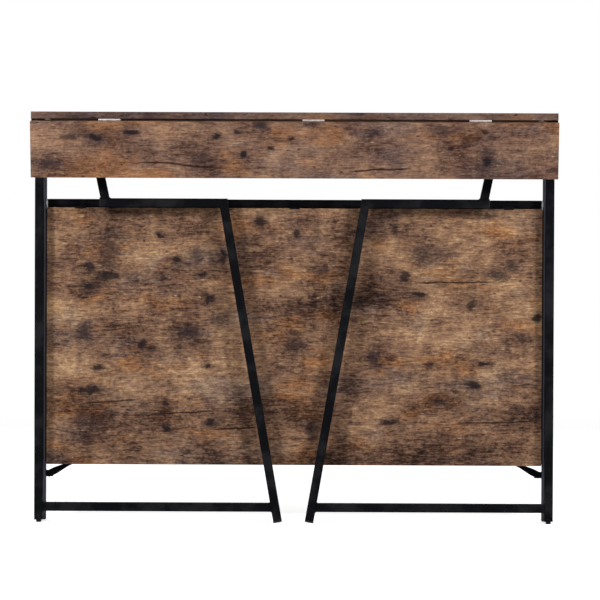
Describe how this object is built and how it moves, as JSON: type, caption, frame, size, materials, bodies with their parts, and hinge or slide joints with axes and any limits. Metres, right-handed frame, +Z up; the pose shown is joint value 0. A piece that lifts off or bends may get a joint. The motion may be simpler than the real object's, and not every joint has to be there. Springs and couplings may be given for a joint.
{
  "type": "folding desk",
  "caption": "Folding desk stored flat: a shelf with a hinged drop flap, a hanging desktop and swing-out leg frames of black square tube.",
  "frame": {"origin": "centre of the folded desk's footprint, on the floor", "axes": "+X along the desk to the viewer's right, +Y to the back, +Z up"},
  "size_m": [1.205, 0.19, 0.944],
  "materials": {
    "wood_board": "satin",
    "black_steel": "satin",
    "bright_steel": "satin",
    "black_plastic": "matte",
    "white_nylon": "matte",
    "black_rubber": "matte"
  },
  "bodies": {
    "rear_frame": {"rear_leg_left": "black_steel", "rear_leg_right": "black_steel", "rear_top_rail": "black_steel", "rear_feet": "black_plastic", "shelf_bearer_left": "black_steel", "shelf_bearer_right": "black_steel", "foot_plate_left": "black_steel", "foot_plate_right": "black_steel", "front_glides": "black_plastic", "post_pins": "bright_steel", "shelf_board": "wood_board", "shelf_screws": "bright_steel", "seam_pads": "white_nylon", "brace_rising": "black_steel", "brace_falling": "black_steel", "brace_lugs": "black_steel", "brace_bolts": "black_steel", "desktop_stops": "black_steel", "pivot_bolts": "bright_steel", "pivot_washers": "white_nylon", "hinge_fixed_leaves": "bright_steel", "hinge_pins": "bright_steel"},
    "left_frame": {"left_post": "black_steel", "left_post_bushes": "white_nylon", "left_bottom_bar": "black_steel", "left_front_leg": "black_steel", "left_leg_foot": "black_plastic", "left_mid_bar": "black_steel", "left_mid_bar_cap": "black_plastic", "left_arm": "black_steel", "left_top_bar": "black_steel", "left_bumper": "black_rubber", "left_support_tabs": "black_steel"},
    "right_frame": {"right_post": "black_steel", "right_post_bushes": "white_nylon", "right_bottom_bar": "black_steel", "right_front_leg": "black_steel", "right_leg_foot": "black_plastic", "right_mid_bar": "black_steel", "right_mid_bar_cap": "black_plastic", "right_arm": "black_steel", "right_top_bar": "black_steel", "right_bumper": "black_rubber", "right_support_tabs": "black_steel"},
    "desktop": {"desktop_panel": "wood_board", "pivot_bar": "black_steel", "bar_plugs": "black_plastic", "bar_clips": "black_steel", "clip_screws": "bright_steel"},
    "shelf_flap": {"flap_board": "wood_board", "hinge_flap_leaves": "bright_steel"}
  },
  "joints": [
    {"name": "left_frame_swing", "type": "hinge", "parent": "rear_frame", "child": "left_frame", "pos_m": [-0.59, 0.021, 0], "axis": [0, 0, -1], "range_deg": [0, 90]},
    {"name": "right_frame_swing", "type": "hinge", "parent": "rear_frame", "child": "right_frame", "pos_m": [0.59, 0.021, 0], "axis": [0, 0, 1], "range_deg": [0, 90]},
    {"name": "desktop_lift", "type": "hinge", "parent": "rear_frame", "child": "desktop", "pos_m": [0, 0.085, 0.74], "axis": [-1, 0, 0], "range_deg": [0, 90]},
    {"name": "shelf_flap_lift", "type": "hinge", "parent": "rear_frame", "child": "shelf_flap", "pos_m": [0, -0.07666, 0.925], "axis": [-1, 0, 0], "range_deg": [0, 107]}
  ],
  "couplings": [
    {"joint": "right_frame_swing", "follows": "left_frame_swing", "ratio": 1},
    {"joint": "desktop_lift", "follows": "left_frame_swing", "ratio": 0.6},
    {"joint": "shelf_flap_lift", "follows": "left_frame_swing", "ratio": 1.1888}
  ]
}
